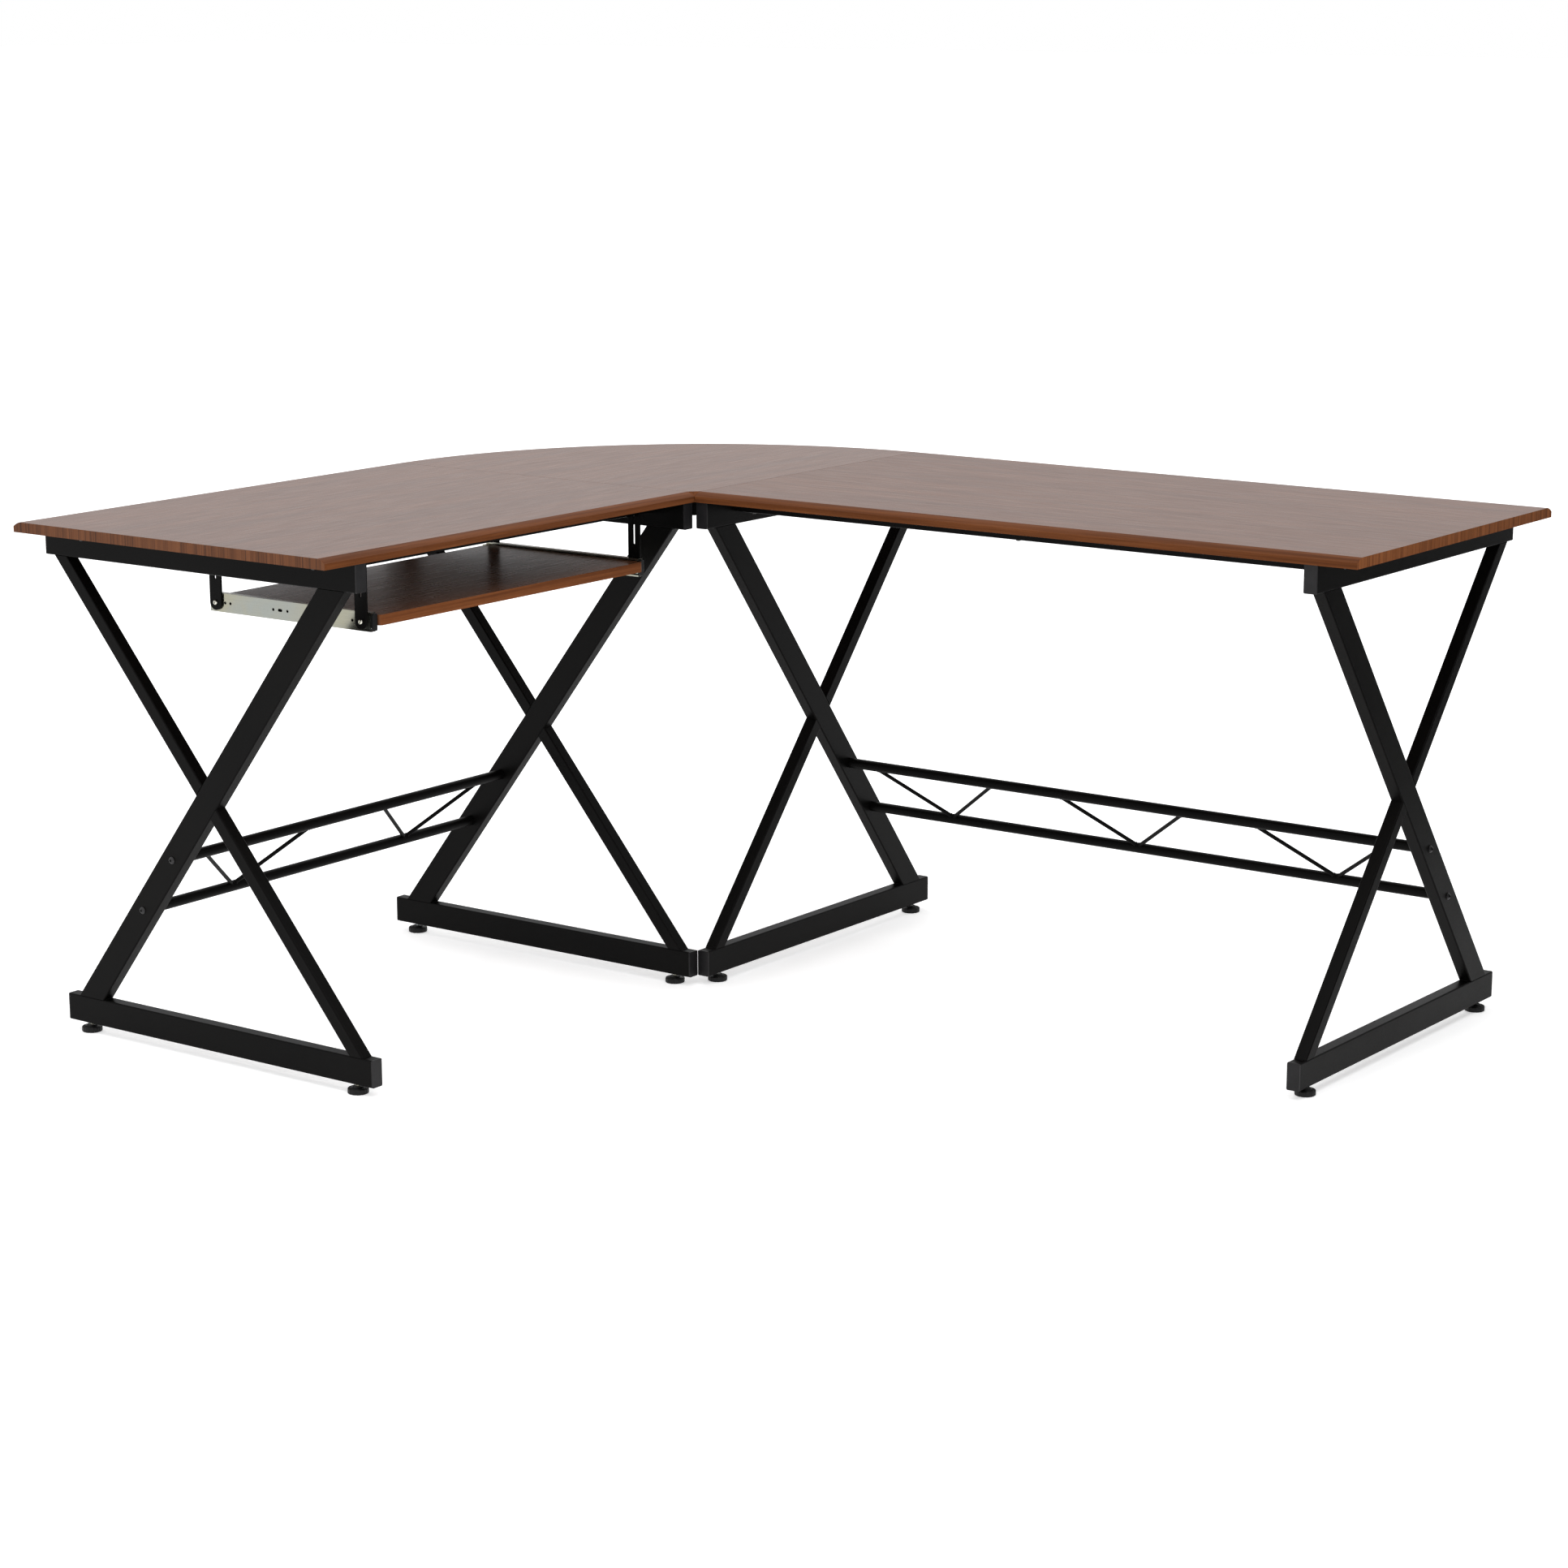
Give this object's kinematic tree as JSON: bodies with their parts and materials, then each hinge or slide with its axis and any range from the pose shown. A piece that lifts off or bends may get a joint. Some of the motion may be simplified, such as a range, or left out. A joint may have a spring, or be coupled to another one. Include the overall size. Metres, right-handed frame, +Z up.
{
  "type": "corner desk",
  "caption": "L-shaped corner desk with a walnut-look three-panel top, black X-shaped tube frames, braced crossbars, levelling feet and a sliding keyboard tray.",
  "frame": {"origin": "on the floor under the middle of the desk's rectangular outline", "axes": "+Z up; +X along the right wing, away from the corner and the way the keyboard tray pulls out; +Y towards the right wing's back edge"},
  "size_m": [1.712, 1.409, 0.762],
  "materials": {
    "walnut_top": "satin walnut-look laminate on board, lengthwise grain",
    "walnut_tray": "satin walnut-look laminate on board",
    "black_steel": "satin black powder coat with a fine texture",
    "black_fastener": "black oxide bolt and screw heads",
    "zinc_steel": "bright zinc plate with a faint tint",
    "black_plastic": "satin moulded plastic",
    "foot_plastic": "moulded plastic pad on a threaded stud",
    "cage_plastic": "moulded ball retainers and slide stops"
  },
  "bodies": {
    "desk_frame": {"left_top": "walnut_top", "right_top": "walnut_top", "corner_top": "walnut_top", "left_end_top_rail": "black_steel", "left_end_bottom_rail": "black_steel", "left_end_wide_leg": "black_steel", "left_end_narrow_leg": "black_steel", "left_inner_top_rail": "black_steel", "left_inner_bottom_rail": "black_steel", "left_inner_wide_leg": "black_steel", "left_inner_narrow_leg": "black_steel", "right_inner_top_rail": "black_steel", "right_inner_bottom_rail": "black_steel", "right_inner_wide_leg": "black_steel", "right_inner_narrow_leg": "black_steel", "right_end_top_rail": "black_steel", "right_end_bottom_rail": "black_steel", "right_end_wide_leg": "black_steel", "right_end_narrow_leg": "black_steel", "left_front_beam": "black_steel", "left_rear_beam": "black_steel", "right_front_beam": "black_steel", "right_rear_beam": "black_steel", "left_upper_crossbar": "black_steel", "left_lower_crossbar": "black_steel", "left_brace_rods": "black_steel", "right_upper_crossbar": "black_steel", "right_lower_crossbar": "black_steel", "right_brace_rods": "black_steel", "corner_link_bracket": "black_steel", "corner_panel_brackets": "black_steel", "left_front_hanger": "black_steel", "left_rear_hanger": "black_steel", "right_front_hanger": "black_steel", "right_rear_hanger": "black_steel", "rail_end_caps": "black_plastic", "beam_bolts": "black_fastener", "crossbar_bolts": "black_fastener", "beam_screws": "black_fastener", "corner_bracket_screws": "black_fastener", "left_outer_slide": "zinc_steel", "right_outer_slide": "zinc_steel", "hanger_screws": "zinc_steel", "slide_bolts": "zinc_steel", "foot_nuts": "zinc_steel"},
    "keyboard_tray": {"tray_board": "walnut_tray", "tray_screws": "zinc_steel", "left_inner_slide": "zinc_steel", "right_inner_slide": "zinc_steel", "slide_bumpers": "cage_plastic"},
    "ball_cages": {"left_ball_cage": "cage_plastic", "right_ball_cage": "cage_plastic"},
    "levelling_foot_left_end_front": {"foot_left_end_front": "foot_plastic"},
    "levelling_foot_left_end_back": {"foot_left_end_back": "foot_plastic"},
    "levelling_foot_left_inner_front": {"foot_left_inner_front": "foot_plastic"},
    "levelling_foot_left_inner_back": {"foot_left_inner_back": "foot_plastic"},
    "levelling_foot_right_inner_front": {"foot_right_inner_front": "foot_plastic"},
    "levelling_foot_right_inner_back": {"foot_right_inner_back": "foot_plastic"},
    "levelling_foot_right_end_front": {"foot_right_end_front": "foot_plastic"},
    "levelling_foot_right_end_back": {"foot_right_end_back": "foot_plastic"}
  },
  "joints": [
    {"name": "tray_slide", "type": "slide", "parent": "desk_frame", "child": "keyboard_tray", "axis": [1, 0, 0], "range_m": [0, 0.21]},
    {"name": "cage_roll", "type": "slide", "parent": "desk_frame", "child": "ball_cages", "axis": [1, 0, 0], "range_m": [0, 0.105]},
    {"name": "foot_left_end_front_screw", "type": "hinge", "parent": "desk_frame", "child": "levelling_foot_left_end_front", "pos_m": [-0.287, -0.63, 0], "axis": [0, 0, 1], "range_deg": [-1080, 3600]},
    {"name": "foot_left_end_back_screw", "type": "hinge", "parent": "desk_frame", "child": "levelling_foot_left_end_back", "pos_m": [-0.817, -0.63, 0], "axis": [0, 0, 1], "range_deg": [-1080, 3600]},
    {"name": "foot_left_inner_front_screw", "type": "hinge", "parent": "desk_frame", "child": "levelling_foot_left_inner_front", "pos_m": [-0.287, 0.0885, 0], "axis": [0, 0, 1], "range_deg": [-1080, 3600]},
    {"name": "foot_left_inner_back_screw", "type": "hinge", "parent": "desk_frame", "child": "levelling_foot_left_inner_back", "pos_m": [-0.817, 0.0885, 0], "axis": [0, 0, 1], "range_deg": [-1080, 3600]},
    {"name": "foot_right_inner_front_screw", "type": "hinge", "parent": "desk_frame", "child": "levelling_foot_right_inner_front", "pos_m": [-0.24, 0.1355, 0], "axis": [0, 0, 1], "range_deg": [-1080, 3600]},
    {"name": "foot_right_inner_back_screw", "type": "hinge", "parent": "desk_frame", "child": "levelling_foot_right_inner_back", "pos_m": [-0.24, 0.6655, 0], "axis": [0, 0, 1], "range_deg": [-1080, 3600]},
    {"name": "foot_right_end_front_screw", "type": "hinge", "parent": "desk_frame", "child": "levelling_foot_right_end_front", "pos_m": [0.7845, 0.1355, 0], "axis": [0, 0, 1], "range_deg": [-1080, 3600]},
    {"name": "foot_right_end_back_screw", "type": "hinge", "parent": "desk_frame", "child": "levelling_foot_right_end_back", "pos_m": [0.7845, 0.6655, 0], "axis": [0, 0, 1], "range_deg": [-1080, 3600]}
  ],
  "couplings": [
    {"joint": "cage_roll", "follows": "tray_slide", "ratio": 0.5}
  ]
}
